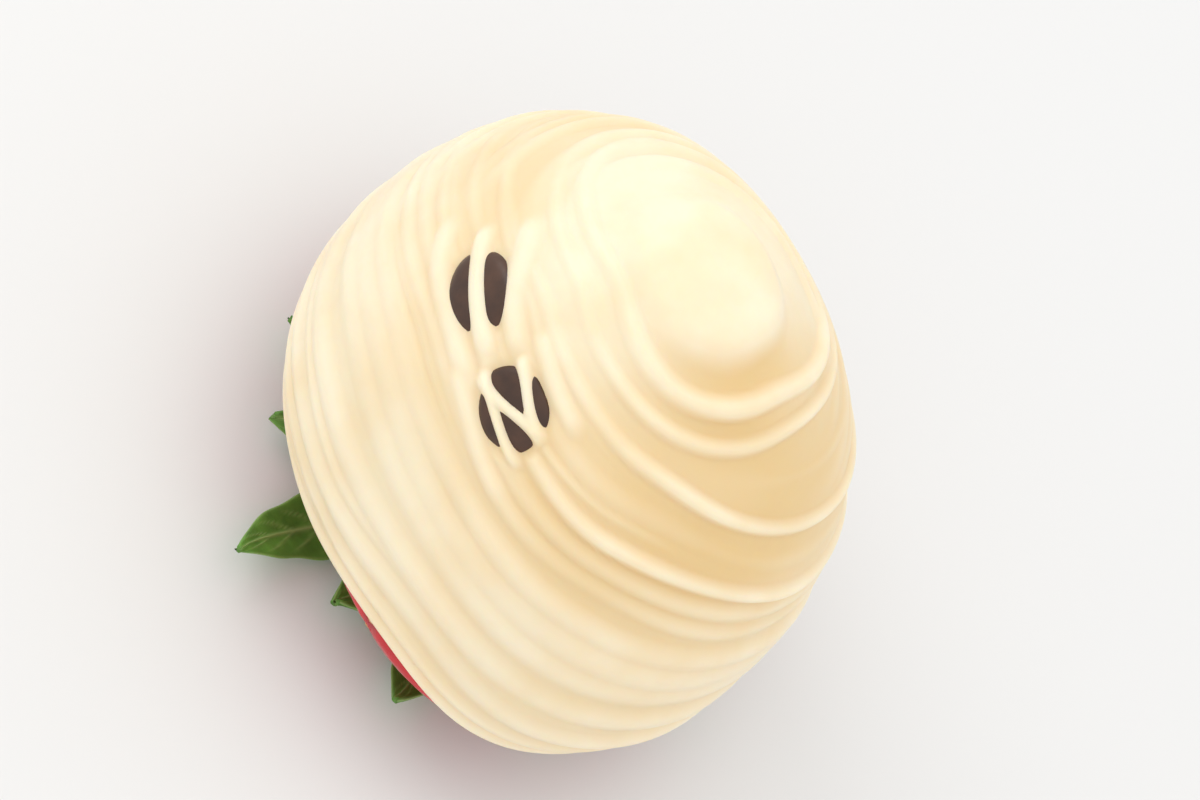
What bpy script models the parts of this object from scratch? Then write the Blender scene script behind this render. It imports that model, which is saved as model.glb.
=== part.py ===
"""Strawberry coated in drizzled white chocolate, standing tip up on its leafy cap."""

import math
import random
from collections import namedtuple

import bmesh
import bpy
from mathutils import Matrix, Vector

MM = 0.001

# Driving dimensions of the coated berry
MEAN_WIDTH = 43.0 * MM
TIP_RISE = 29.4 * MM
NOSE_RADIUS = 10.0 * MM
SHOULDER_DROP = 13.1 * MM
STEM_END_RADIUS = 5.0 * MM
OVAL = 0.088
OVAL_TURN = math.radians(150)
THREE_CORNERS = 0.012
FOUR_CORNERS = 0.025
CORNER_TURN = math.radians(38)
CORNER_TRAVEL = 30.0 * MM
COLUMNS = 40
COVERED_ROWS = 6
SHOULDER_ROWS = 6

# Coating, measured inward from the crests of its strands; each wave of its edge has a count round
# the berry, a phase and a share
VALLEY_DEPTH = 0.8 * MM
SKIN_INSIDE = 1.6 * MM
FRUIT_INSIDE = 1.9 * MM
INNER_ROWS = 7
LIP = 1.1 * MM
LIP_ROUNDING = 0.6
LIP_INSET = 0.35
EDGE_TRAVEL = 46.6 * MM
EDGE_WAVE = 0.7 * MM
BROAD_WAVE = (3, 0.8, 0.6)
SHORT_WAVE = (7, 2.1, 0.4)
BARE_TURN = math.radians(-82)
BARE_HALF_ANGLE = math.radians(28)
BARE_RISE = 3.6 * MM

# Fruit past the coating's edge, where it swells out before it turns in to the stem end
SWELL = 1.2 * MM
SWELL_START = 0.3 * MM
SWELL_RISE = 2.2 * MM
SWELL_END = 47.0 * MM
SWELL_FADE = 6.0 * MM
SWELL_ROWS = 3

# Loops of drizzle: level at the front, sunk at the back, standing apart on one side
FRONT_TURN = math.radians(-75)
RIGHT_SPAN = math.radians(110)
LEFT_START = math.radians(55)
LEFT_SPAN = math.radians(90)
APART_TURN = math.radians(-25)
APART_POWER = 2
SWAY = 0.18 * MM
HEIGHT_SWAY = 0.12
CROWD_START = 28.0 * MM
LEAST_GAP = 0.75 * MM
FLANK_SHARE = 0.2
FOOT_SHARE = 0.41
UNION_POWER = 4
SWAY_SEED = 23

# Each strand in millimetres: travel from the tip at the front and how far it sinks, the degrees
# from the front at which it starts to sink on the right, its height where strands gather and
# where they stand apart, and its half width
Strand = namedtuple("Strand", "front sink start gathered apart half_width")
STRANDS = (
    Strand(8.4, 8.0, 60, 0.40, 0.75, 1.15),
    Strand(11.2, 7.6, 62, 0.25, 0.52, 0.85),
    Strand(14.1, 11.0, 15, 0.18, 0.62, 0.90),
    Strand(17.0, 11.6, 15, 0.20, 0.12, 1.00),
    Strand(19.9, 12.0, 15, 0.22, 0.64, 0.90),
    Strand(21.9, 12.0, 15, 0.22, 0.30, 0.95),
    Strand(23.6, 11.6, 14, 0.26, 0.25, 0.95),
    Strand(26.6, 10.4, 12, 0.30, 0.42, 1.50),
    Strand(28.9, 9.4, 12, 0.30, 0.36, 1.90),
    Strand(31.2, 8.4, 12, 0.28, 0.36, 1.60),
    Strand(35.2, 6.1, 12, 0.34, 0.42, 1.60),
    Strand(39.2, 3.6, 12, 0.34, 0.42, 1.50),
    Strand(42.2, 1.6, 12, 0.30, 0.35, 1.20),
    Strand(44.9, 0.0, 12, 0.40, 0.45, 1.10),
)

# Smooth cap over the tip: a shallow dish with its middle off the tip, and its ramp to the drizzle
CAP_OFFSET = 1.6 * MM
CAP_TURN = math.radians(169)
CAP_RADIUS = 5.0 * MM
CAP_RAMP = 3.0 * MM
CAP_HOLLOW = 0.22 * MM
CAP_HOLLOW_RADIUS = 4.6 * MM
CAP_ROOM = 0.85
CAP_ROWS = (0.0, 0.5, 1.0)
CAP_SLOPE_ROWS = (0.4, 0.7, 1.0)

# Dark chocolate dots, each at a travel from the tip and a turn, set in a shallow bed of their own
DOTS = ((19.45 * MM, math.radians(-142)), (19.4 * MM, math.radians(-105)))
DOT_DOWN = 2.9 * MM
DOT_ACROSS = 3.6 * MM
DOT_HEIGHT = 0.6 * MM
DOT_SINK = 0.95 * MM
DOT_COLUMNS = 14
DOT_ROWS = 6

# Threads of drizzle over each dot in millimetres: distance below its middle, slope, half length
THREAD_RADIUS = 0.55 * MM
THREAD_SINK = 0.4 * MM
THREAD_END_SINK = 1.15 * MM
THREAD_TAPER = 0.6
THREAD_POINTS = 7
THREAD_BEND = 3.0 * MM
DOT_THREADS = (
    ((0.15, 0.0, 6.0), (-2.85, 0.22, 6.5), (3.1, -0.22, 6.5)),
    ((-1.53, 0.28, 4.6), (0.2, -0.47, 4.6), (1.38, 0.15, 4.6), (-3.8, 0.10, 6.0), (3.75, 0.20, 6.0)),
)

# Seeds on the bare shoulder
SEED_LENGTH = 1.9 * MM
SEED_WIDTH = 1.2 * MM
SEED_THICKNESS = 0.9 * MM
SEED_TRAVELS = (44.9 * MM, 47.6 * MM, 50.3 * MM, 53.0 * MM)
SEED_SPACING = 4.7 * MM
SEED_CLEARANCE = 1.8 * MM
SEED_COLUMNS = 6
SEED_ROWS = 4

# Leafy cap under the stem end: bracts that lie on the ground, sepals that hug the shoulder
HUB_RADIUS = 6.2 * MM
HUB_HEIGHT = 1.4 * MM
HUB_SIDES = 24
FIT_GAP = 0.3 * MM
LEAF_PAIRS = 6
LEAF_SEED = 5
LEAF_STRAY = 0.04
LEAF_THICKNESS = 0.5 * MM
LEAF_START = 3.4 * MM
LEAF_ACROSS = 4
LEAF_ALONG = 5
LEAF_ROOT_SHARE = 0.34
LEAF_WIDENING = 2.5
LEAF_NARROWING = 2.8
LEAF_TIP_SHARE = 0.2
RIPPLE = 0.25 * MM
BRACT_CURL_START = 0.45
BRACT_HALF_WIDTH = 2.9 * MM
BRACT_REACH = (18.5 * MM, 22.5 * MM)
BRACT_CURL = (2.0 * MM, 4.5 * MM)
BRACT_CUP = 0.4 * MM
BRACT_CURL_POWER = 1.7
BRACT_LIFT = 0.55
BRACT_BEND = 0.15
BRACT_RIPPLES = 9
SEPAL_HALF_WIDTH = 4.2 * MM
SEPAL_LENGTH = (12.5 * MM, 15.0 * MM)
SEPAL_ROOT_GAP = 0.35 * MM
SEPAL_GAP = 1.0 * MM
SEPAL_FLARE = (0.8 * MM, 2.4 * MM)
SEPAL_FLARE_START = 0.65
SEPAL_BEND = 0.1
SEPAL_RIPPLES = 8
SEPAL_FLAT_SHARE = 0.3

WELD = 0.000002
RING_HEIGHT = HUB_HEIGHT + FIT_GAP + SHOULDER_DROP - FRUIT_INSIDE


class Outline:
    """Turned outline over the crests: nose arc, tangent belly arc, elliptical shoulder, flat end."""

    def __init__(self):
        self.widest = MEAN_WIDTH / 2
        nose_height = TIP_RISE - NOSE_RADIUS
        spare = self.widest ** 2 + nose_height ** 2 - NOSE_RADIUS ** 2
        self.belly = spare / (2 * (self.widest - NOSE_RADIUS))
        self.nose_angle = math.atan2(self.belly - self.widest, nose_height)
        self.nose_travel = NOSE_RADIUS * self.nose_angle
        self.ring_travel = self.nose_travel + self.belly * (math.pi / 2 - self.nose_angle)
        self.shoulder = self.widest - STEM_END_RADIUS
        self.shoulder_mean = math.sqrt((self.shoulder ** 2 + SHOULDER_DROP ** 2) / 2)
        self.end_travel = self.ring_travel + self.shoulder_mean * math.pi / 2

    def at(self, travel):
        """Radius and height of the outline, and the lean of its outward normal from +Z."""
        if travel < self.nose_travel:
            lean = travel / NOSE_RADIUS
            radius = NOSE_RADIUS * math.sin(lean)
            height = TIP_RISE - NOSE_RADIUS + NOSE_RADIUS * math.cos(lean)
        elif travel < self.ring_travel:
            lean = self.nose_angle + (travel - self.nose_travel) / self.belly
            radius = self.widest - self.belly + self.belly * math.sin(lean)
            height = self.belly * math.cos(lean)
        elif travel > self.end_travel:
            lean = math.pi
            radius = STEM_END_RADIUS - (travel - self.end_travel)
            height = -SHOULDER_DROP
        else:
            angle = (travel - self.ring_travel) / self.shoulder_mean
            radius = STEM_END_RADIUS + self.shoulder * math.cos(angle)
            height = -SHOULDER_DROP * math.sin(angle)
            across = math.sin(angle) / SHOULDER_DROP
            lean = math.pi / 2 + math.atan2(across, math.cos(angle) / self.shoulder)
        return radius, height, lean

    def point(self, travel, turn, inward):
        """Point on the oval berry at a travel from the tip and a turn round the axis."""
        radius, height, lean = self.at(travel)
        radius = max(radius - inward * math.sin(lean), 0.0) * section(travel, turn)
        height += RING_HEIGHT - inward * math.cos(lean)
        return Vector((radius * math.cos(turn), radius * math.sin(turn), height))

    def frame(self, travel, turn, inward):
        """Matrix at a surface point: Z points out of the berry, Y runs down its side."""
        step = 0.2 * MM
        turn_step = 0.01
        spot = self.point(travel, turn, inward)
        down = (self.point(travel + step, turn, inward) - spot).normalized()
        across = (self.point(travel, turn + turn_step, inward) - spot).normalized()
        out = down.cross(across)
        side = down.cross(out)
        axes = Matrix((side, down, out)).transposed().to_4x4()
        return Matrix.Translation(spot) @ axes


def section(travel, turn):
    """How much wider or narrower than round the berry is: oval, with soft corners lower down."""
    oval = OVAL * math.cos(2 * (turn - OVAL_TURN))
    corner = turn - CORNER_TURN
    corners = THREE_CORNERS * math.cos(3 * corner) + FOUR_CORNERS * math.cos(4 * corner)
    return 1 + oval + corners * smooth(travel / CORNER_TRAVEL)


OUTLINE = Outline()
DRAW = random.Random(SWAY_SEED)
SWAYS = [(DRAW.choice((2, 3, 5)), DRAW.uniform(0, math.tau)) for _ in STRANDS]


def smooth(share):
    """Smooth step from 0 to 1."""
    share = min(max(share, 0.0), 1.0)
    return share * share * (3 - 2 * share)


def turn_apart(turn, other):
    """Signed angle between two turns, from -180 to 180 degrees."""
    return (turn - other + math.pi) % math.tau - math.pi


def coating_edge(turn):
    """Travel to the coating's lower edge, which runs higher over the bare patch."""
    bare = math.exp(-(turn_apart(turn, BARE_TURN) / BARE_HALF_ANGLE) ** 2)
    wave = sum(share * math.sin(waves * turn + phase) for waves, phase, share in (BROAD_WAVE, SHORT_WAVE))
    return EDGE_TRAVEL - BARE_RISE * bare + EDGE_WAVE * wave


def strand_crests(turn):
    """Travel to each strand's crest on one meridian, crowded up where the coating ends early."""
    off = turn_apart(turn, FRONT_TURN)
    last = coating_edge(turn) - LIP
    room = (last - CROWD_START) / (STRANDS[-1].front * MM - CROWD_START)
    crests = []
    for strand, (waves, phase) in zip(STRANDS, SWAYS):
        right = smooth((off - math.radians(strand.start)) / RIGHT_SPAN)
        left = smooth((-off - LEFT_START) / LEFT_SPAN)
        crest = (strand.front + strand.sink * (left + right)) * MM + SWAY * math.sin(waves * turn + phase)
        if crest > CROWD_START:
            crest = CROWD_START + (crest - CROWD_START) * room
        crests.append(max(crest, crests[-1] + LEAST_GAP) if crests else crest)
    crests[-1] = last
    return crests


def strand_height(number, turn):
    """Height of a strand's crest over the valleys, as it goes round."""
    strand = STRANDS[number]
    waves, phase = SWAYS[number]
    apart = (0.5 + 0.5 * math.cos(turn - APART_TURN)) ** APART_POWER
    height = (strand.gathered * (1 - apart) + strand.apart * apart) * MM
    return height * (1 + HEIGHT_SWAY * math.sin((waves + 2) * turn + 2 * phase))


def cap_edge(turn):
    """Travel from the tip to the rim of the cap's dish."""
    off = turn - CAP_TURN
    return CAP_OFFSET * math.cos(off) + math.sqrt(CAP_RADIUS ** 2 - (CAP_OFFSET * math.sin(off)) ** 2)


def cap_height(travel, turn):
    """Height of the cap over the valleys: a hollow inside its rim, a ramp outside it."""
    off = turn - CAP_TURN
    out = math.hypot(travel * math.cos(off) - CAP_OFFSET, travel * math.sin(off))
    ramp = 1 - smooth((out - CAP_RADIUS) / CAP_RAMP)
    return VALLEY_DEPTH * ramp - CAP_HOLLOW * (1 - smooth(out / CAP_HOLLOW_RADIUS))


def surface_depth(travel, turn, crests):
    """Depth of the coating's surface, where cap and strands melt into each other."""
    heights = [cap_height(travel, turn)]
    for number, crest in enumerate(crests):
        off = (travel - crest) / (STRANDS[number].half_width * MM)
        heights.append(strand_height(number, turn) * max(1 - off ** 2, 0.0) ** 1.5)
    union = sum(height ** UNION_POWER for height in heights) ** (1 / UNION_POWER)
    return max(VALLEY_DEPTH - union, 0.0)


def outer_stations(turn):
    """Travel and inward depth of the outer skin's rows on one meridian, tip to edge."""
    crests = strand_crests(turn)
    widths = [strand.half_width * MM for strand in STRANDS]
    first = crests[0] - widths[0]
    cap = min(cap_edge(turn), CAP_ROOM * first)
    travels = [cap * share for share in CAP_ROWS]
    travels += [cap + (first - cap) * share for share in CAP_SLOPE_ROWS]
    travels.append(crests[0] - 0.5 * widths[0])
    for number, crest in enumerate(crests[:-1]):
        after = crests[number + 1]
        flank, foot = FLANK_SHARE * (after - crest), FOOT_SHARE * (after - crest)
        width, next_width = widths[number], widths[number + 1]
        travels += [crest, crest + min(flank, 0.5 * width), crest + min(foot, width)]
        travels += [after - min(foot, next_width), after - min(flank, 0.5 * next_width)]
    travels.append(crests[-1])
    stations = [(travel, surface_depth(travel, turn, crests)) for travel in travels]
    lip_depth = 0.5 * (stations[-1][1] + VALLEY_DEPTH)
    stations.append((crests[-1] + LIP_ROUNDING * LIP, lip_depth))
    stations.append((crests[-1] + LIP, 0.5 * (VALLEY_DEPTH + SKIN_INSIDE)))
    return stations


def inner_stations(turn):
    """Rows of the inner skin, from under the edge back up to the tip."""
    edge = coating_edge(turn) - LIP_INSET * LIP
    return [(edge * (1 - row / INNER_ROWS), SKIN_INSIDE) for row in range(INNER_ROWS + 1)]


def wrapped_grid(name, stations):
    """Mesh of meridians round the axis, each a row of stations, closed at its two poles."""
    meridians = []
    for column in range(COLUMNS):
        turn = math.tau * column / COLUMNS
        meridians.append([OUTLINE.point(travel, turn, inward) for travel, inward in stations(turn)])
    rows = len(meridians[0]) - 1
    bm = bmesh.new()
    bmesh.ops.create_grid(bm, x_segments=COLUMNS, y_segments=rows, size=0.5)
    for vert in bm.verts:
        column = round((vert.co.x + 0.5) * COLUMNS)
        row = round((vert.co.y + 0.5) * rows)
        vert.co = meridians[column % COLUMNS][row]
    bmesh.ops.remove_doubles(bm, verts=bm.verts, dist=WELD)
    bmesh.ops.triangulate(bm, faces=bm.faces, quad_method="ALTERNATE")
    bmesh.ops.recalc_face_normals(bm, faces=bm.faces)
    return finished_mesh(bm, name)


def finished_mesh(bm, name):
    """Mesh data from a bmesh, shaded smooth."""
    mesh = bpy.data.meshes.new(name)
    bm.to_mesh(mesh)
    bm.free()
    mesh.shade_smooth()
    return mesh


def new_object(name, mesh, collection):
    """Object of a mesh, linked to a collection."""
    item = bpy.data.objects.new(name, mesh)
    collection.objects.link(item)
    return item


def new_collection(name):
    """Collection under the scene's own."""
    collection = bpy.data.collections.new(name)
    bpy.context.scene.collection.children.link(collection)
    return collection


def painted(item, name, color, roughness):
    """Give an object its own Principled material."""
    material = bpy.data.materials.new(name)
    material.use_nodes = True
    shader = material.node_tree.nodes["Principled BSDF"]
    shader.inputs["Base Color"].default_value = (*color, 1.0)
    shader.inputs["Roughness"].default_value = roughness
    shader.inputs["Metallic"].default_value = 0.0
    item.data.materials.clear()
    item.data.materials.append(material)


def fuse(item, toppings):
    """One Boolean union of an object with all the pieces of a collection, then applied."""
    union = item.modifiers.new("Fused", "BOOLEAN")
    union.operation = "UNION"
    union.operand_type = "COLLECTION"
    union.collection = toppings
    union.solver = "EXACT"
    graph = bpy.context.evaluated_depsgraph_get()
    mesh = bpy.data.meshes.new_from_object(item.evaluated_get(graph))
    item.modifiers.clear()
    item.data = mesh
    mesh.name = item.name
    for topping in list(toppings.objects):
        bpy.data.objects.remove(topping)
    bpy.data.collections.remove(toppings)


def build_coating(collection):
    """White chocolate skin with its ridges of drizzle, dots and crossing threads."""

    def stations(turn):
        return outer_stations(turn) + inner_stations(turn)

    coating = new_object("coating", wrapped_grid("coating", stations), collection)
    toppings = new_collection("dots and threads")
    for number, dot in enumerate(DOTS):
        add_dot(f"dot {number}", dot, toppings)
        for line, thread in enumerate(DOT_THREADS[number]):
            add_thread(f"thread {number}.{line}", dot, thread, toppings)
    fuse(coating, toppings)
    painted(coating, "white chocolate", (0.93, 0.82, 0.58), 0.42)


def add_dot(name, dot, collection):
    """Flattened round dot, bent to the berry and set into the coating."""
    travel, turn = dot
    radius = OUTLINE.at(travel)[0]
    bm = bmesh.new()
    bmesh.ops.create_uvsphere(bm, u_segments=DOT_COLUMNS, v_segments=DOT_ROWS, radius=1.0)
    for vert in bm.verts:
        across, down, out = vert.co
        spot_turn = turn + across * DOT_ACROSS / radius
        vert.co = OUTLINE.point(travel + down * DOT_DOWN, spot_turn, DOT_SINK - out * DOT_HEIGHT)
    bmesh.ops.recalc_face_normals(bm, faces=bm.faces)
    item = new_object(name, finished_mesh(bm, name), collection)
    item.hide_render = True
    item.display_type = "WIRE"


def add_thread(name, dot, thread, collection):
    """Thin strand laid over a dot: a bevelled poly curve that sinks in at both ends."""
    travel, turn = dot
    below, slope, half_length = thread
    curve = bpy.data.curves.new(name, "CURVE")
    curve.dimensions = "3D"
    curve.bevel_depth = THREAD_RADIUS
    curve.bevel_resolution = 1
    curve.use_fill_caps = True
    spline = curve.splines.new("POLY")
    spline.points.add(THREAD_POINTS - 1)
    for number, spot in enumerate(spline.points):
        part = 2 * number / (THREAD_POINTS - 1) - 1
        across = part * half_length * MM
        inward = THREAD_SINK + (THREAD_END_SINK - THREAD_SINK) * part ** 4
        down = travel + below * MM + slope * THREAD_BEND * math.tanh(across / THREAD_BEND)
        spot_turn = turn + across / OUTLINE.at(travel)[0]
        spot.co = (*OUTLINE.point(down, spot_turn, inward), 1.0)
        spot.radius = 1 - THREAD_TAPER * part ** 4
    guide = bpy.data.objects.new(name, curve)
    collection.objects.link(guide)
    graph = bpy.context.evaluated_depsgraph_get()
    mesh = bpy.data.meshes.new_from_object(guide.evaluated_get(graph))
    bpy.data.objects.remove(guide)
    bm = bmesh.new()
    bm.from_mesh(mesh)
    bmesh.ops.remove_doubles(bm, verts=bm.verts, dist=WELD)
    bmesh.ops.recalc_face_normals(bm, faces=bm.faces)
    thread = new_object(name, finished_mesh(bm, name), collection)
    thread.hide_render = True
    thread.display_type = "WIRE"


def fruit_depth(travel, turn):
    """Depth of the fruit's skin, which swells out past the coating's edge."""
    past = smooth((travel - coating_edge(turn) - SWELL_START) / SWELL_RISE)
    fade = 1 - smooth((travel - SWELL_END) / SWELL_FADE)
    return FRUIT_INSIDE - SWELL * past * fade


def fruit_stations(turn):
    """Rows of the fruit on one meridian: wide apart under the coating, closer past its edge."""
    start = coating_edge(turn) + SWELL_START
    full = start + SWELL_RISE
    travels = [start * row / COVERED_ROWS for row in range(COVERED_ROWS)]
    travels += [start + SWELL_RISE * row / SWELL_ROWS for row in range(SWELL_ROWS)]
    shoulder = (OUTLINE.end_travel - full) / SHOULDER_ROWS
    travels += [full + shoulder * row for row in range(SHOULDER_ROWS + 1)]
    travels.append(OUTLINE.end_travel + STEM_END_RADIUS)
    return [(travel, fruit_depth(travel, turn)) for travel in travels]


def build_strawberry(collection):
    """Fruit under the coating, its bare red shoulder set with seeds."""
    mesh = wrapped_grid("strawberry", fruit_stations)
    strawberry = new_object("strawberry", mesh, collection)
    seeds = new_collection("seeds")
    for line, travel in enumerate(SEED_TRAVELS):
        radius = OUTLINE.at(travel)[0] - FRUIT_INSIDE
        count = round(math.tau * radius / SEED_SPACING)
        for number in range(count):
            turn = math.tau * (number + 0.5 * (line % 2)) / count
            if travel - coating_edge(turn) > SEED_CLEARANCE:
                add_seed(f"seed {line}.{number}", travel, turn, seeds)
    fuse(strawberry, seeds)
    painted(strawberry, "strawberry flesh", (0.62, 0.02, 0.03), 0.35)


def add_seed(name, travel, turn, collection):
    """Small pointed seed, half sunk in the fruit."""
    bm = bmesh.new()
    bmesh.ops.create_uvsphere(bm, u_segments=SEED_COLUMNS, v_segments=SEED_ROWS, radius=0.5)
    bmesh.ops.rotate(bm, matrix=Matrix.Rotation(math.pi / 2, 3, "X"), verts=bm.verts)
    size = Vector((SEED_WIDTH, SEED_LENGTH, SEED_THICKNESS))
    bmesh.ops.scale(bm, vec=size, verts=bm.verts)
    seed = new_object(name, finished_mesh(bm, name), collection)
    seed.matrix_world = OUTLINE.frame(travel, turn, fruit_depth(travel, turn))
    seed.hide_render = True
    seed.display_type = "WIRE"


def leaf_swell(part):
    """Share of a leaf's half width, from its root to its narrow tip."""
    return max(LEAF_ROOT_SHARE + LEAF_WIDENING * part - LEAF_NARROWING * part ** 2, LEAF_TIP_SHARE)


def build_calyx(collection):
    """Green cap: a flat hub on the ground, with bracts and sepals by turns round it."""
    bm = bmesh.new()
    bmesh.ops.create_cone(
        bm, cap_ends=True, segments=HUB_SIDES, radius1=HUB_RADIUS, radius2=HUB_RADIUS, depth=HUB_HEIGHT
    )
    bmesh.ops.translate(bm, vec=(0.0, 0.0, HUB_HEIGHT / 2), verts=bm.verts)
    calyx = new_object("calyx", finished_mesh(bm, "calyx"), collection)
    leaves = new_collection("leaves")
    draw = random.Random(LEAF_SEED)
    for number in range(LEAF_PAIRS):
        turn = math.tau * (number + draw.uniform(-LEAF_STRAY, LEAF_STRAY)) / LEAF_PAIRS
        add_leaf(f"bract {number}", bract_surface(turn, draw), leaves)
        add_leaf(f"sepal {number}", sepal_surface(turn + math.pi / LEAF_PAIRS, draw), leaves)
    fuse(calyx, leaves)
    painted(calyx, "leaf", (0.10, 0.24, 0.04), 0.6)


def bract_surface(turn, draw):
    """Middle surface of a narrow leaf that lies on the ground and curls up at its tip."""
    reach = draw.uniform(*BRACT_REACH)
    curl = draw.uniform(*BRACT_CURL)
    bend = draw.uniform(-BRACT_BEND, BRACT_BEND)
    phase = draw.uniform(0, math.tau)

    def surface(side, part):
        lift = curl * (max(part - BRACT_CURL_START, 0.0) / (1 - BRACT_CURL_START)) ** BRACT_CURL_POWER
        cup = BRACT_CUP * side ** 2 * math.sin(math.pi * part)
        ripple = RIPPLE * (1 + math.sin(BRACT_RIPPLES * part + phase + side)) * part
        height = BRACT_LIFT * LEAF_THICKNESS + lift + cup + ripple
        radius = LEAF_START + (reach - LEAF_START) * part
        swing = turn + bend * part ** 2
        forward = Vector((math.cos(swing), math.sin(swing), 0.0))
        sideways = Vector((-math.sin(swing), math.cos(swing), 0.0))
        across = side * BRACT_HALF_WIDTH * leaf_swell(part)
        return forward * radius + sideways * across + Vector((0.0, 0.0, height))

    return surface


def sepal_surface(turn, draw):
    """Middle surface of a broad leaf that follows the fruit's shoulder and flares at its tip."""
    length = draw.uniform(*SEPAL_LENGTH)
    flare = draw.uniform(*SEPAL_FLARE)
    bend = draw.uniform(-SEPAL_BEND, SEPAL_BEND)
    phase = draw.uniform(0, math.tau)
    root = OUTLINE.end_travel + STEM_END_RADIUS - LEAF_START

    def surface(side, part):
        travel = root - length * part
        radius = OUTLINE.at(travel)[0]
        swing = turn + bend * part ** 2 + side * SEPAL_HALF_WIDTH * leaf_swell(part) / radius
        rippled = smooth(2 * (part - SEPAL_FLAT_SHARE))
        ripple = RIPPLE * rippled * math.sin(SEPAL_RIPPLES * part + phase + 2 * side)
        gap = SEPAL_ROOT_GAP + SEPAL_GAP * smooth(2 * part) + ripple + 0.5 * LEAF_THICKNESS
        gap += flare * (max(part - SEPAL_FLARE_START, 0.0) / (1 - SEPAL_FLARE_START)) ** 2
        return OUTLINE.point(travel, swing, FRUIT_INSIDE - gap)

    return surface


def add_leaf(name, surface, collection):
    """Thin wavy leaf of a triangulated sheet made solid, so both faces split alike."""
    bm = bmesh.new()
    bmesh.ops.create_grid(bm, x_segments=LEAF_ACROSS, y_segments=LEAF_ALONG, size=0.5)
    for vert in bm.verts:
        vert.co = surface(2 * vert.co.x, vert.co.y + 0.5)
    bmesh.ops.triangulate(bm, faces=bm.faces, quad_method="ALTERNATE")
    bmesh.ops.recalc_face_normals(bm, faces=bm.faces)
    leaf = new_object(name, finished_mesh(bm, name), collection)
    solid = leaf.modifiers.new("Thickness", "SOLIDIFY")
    solid.thickness = LEAF_THICKNESS
    solid.offset = 0.0
    leaf.hide_render = True
    leaf.display_type = "WIRE"


def main():
    for item in list(bpy.data.objects):
        bpy.data.objects.remove(item)
    collection = new_collection("chocolate coated strawberry")
    build_strawberry(collection)
    build_coating(collection)
    build_calyx(collection)


main()
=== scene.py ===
"""Looks of a strawberry coated in drizzled white chocolate, built round the fixed frame."""

import math
import random
from collections import namedtuple

import bmesh
import bpy
import numpy as np
from bpy.props import FloatProperty, FloatVectorProperty, IntProperty, PointerProperty
from bpy.types import Operator, Panel, PropertyGroup
from mathutils import Matrix, Vector


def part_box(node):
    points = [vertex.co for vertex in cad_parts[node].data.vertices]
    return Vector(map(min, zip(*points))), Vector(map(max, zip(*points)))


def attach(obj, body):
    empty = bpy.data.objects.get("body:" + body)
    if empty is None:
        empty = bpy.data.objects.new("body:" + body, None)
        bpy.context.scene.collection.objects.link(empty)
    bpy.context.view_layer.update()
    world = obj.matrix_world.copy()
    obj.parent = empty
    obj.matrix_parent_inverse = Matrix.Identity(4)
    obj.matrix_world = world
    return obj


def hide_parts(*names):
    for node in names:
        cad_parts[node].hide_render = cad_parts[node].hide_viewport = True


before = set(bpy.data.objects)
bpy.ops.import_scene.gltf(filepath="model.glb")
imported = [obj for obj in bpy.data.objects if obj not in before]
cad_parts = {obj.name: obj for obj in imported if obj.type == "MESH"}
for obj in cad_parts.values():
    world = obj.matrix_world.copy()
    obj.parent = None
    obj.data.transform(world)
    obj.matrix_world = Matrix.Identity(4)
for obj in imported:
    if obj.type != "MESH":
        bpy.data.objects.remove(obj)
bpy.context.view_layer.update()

bl_info = {
    "name": "Chocolate coated strawberry",
    "version": (1, 0, 0),
    "blender": (4, 5, 0),
    "location": "3D View > Sidebar > Berry",
    "description": "Adds the finished surfaces of a drizzled white chocolate strawberry",
    "category": "Add Mesh",
}

MM = 0.001
BODY = "root"

# Driving dimensions, as the solids have them
MEAN_WIDTH = 43.0 * MM
TIP_RISE = 29.4 * MM
NOSE_RADIUS = 10.0 * MM
SHOULDER_DROP = 13.1 * MM
STEM_END_RADIUS = 5.0 * MM
OVAL = 0.088
OVAL_TURN = math.radians(150)
THREE_CORNERS = 0.012
FOUR_CORNERS = 0.025
CORNER_TURN = math.radians(38)
CORNER_TRAVEL = 30.0 * MM
SKIN_INSIDE = 1.6 * MM
FRUIT_INSIDE = 1.9 * MM
TIP_HOLLOW = 0.16 * MM
RING_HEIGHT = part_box("coating")[1].z + TIP_HOLLOW - TIP_RISE

# Coating's lower edge, higher over the bare patch, and the fruit that swells out past it; each wave
# has a count round the berry, a phase and a share
LIP = 1.1 * MM
LIP_INSET = 0.35
EDGE_TRAVEL = 46.6 * MM
EDGE_WAVE = 0.7 * MM
BROAD_WAVE = (3, 0.8, 0.6)
SHORT_WAVE = (7, 2.1, 0.4)
BARE_TURN = math.radians(-82)
BARE_HALF_ANGLE = math.radians(28)
BARE_RISE = 3.6 * MM
SWELL = 1.2 * MM
SWELL_START = 0.3 * MM
SWELL_RISE = 2.2 * MM
SWELL_END = 47.0 * MM
SWELL_FADE = 6.0 * MM

# Loops of drizzle: level at the front, sunk at the back, standing apart on one side
FRONT_TURN = math.radians(-75)
RIGHT_SPAN = math.radians(110)
LEFT_START = math.radians(55)
LEFT_SPAN = math.radians(90)
APART_TURN = math.radians(-25)
APART_POWER = 2
SWAY = 0.18 * MM
HEIGHT_SWAY = 0.12
CROWD_START = 28.0 * MM
UNION_POWER = 4
SWAY_SEED = 23

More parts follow.
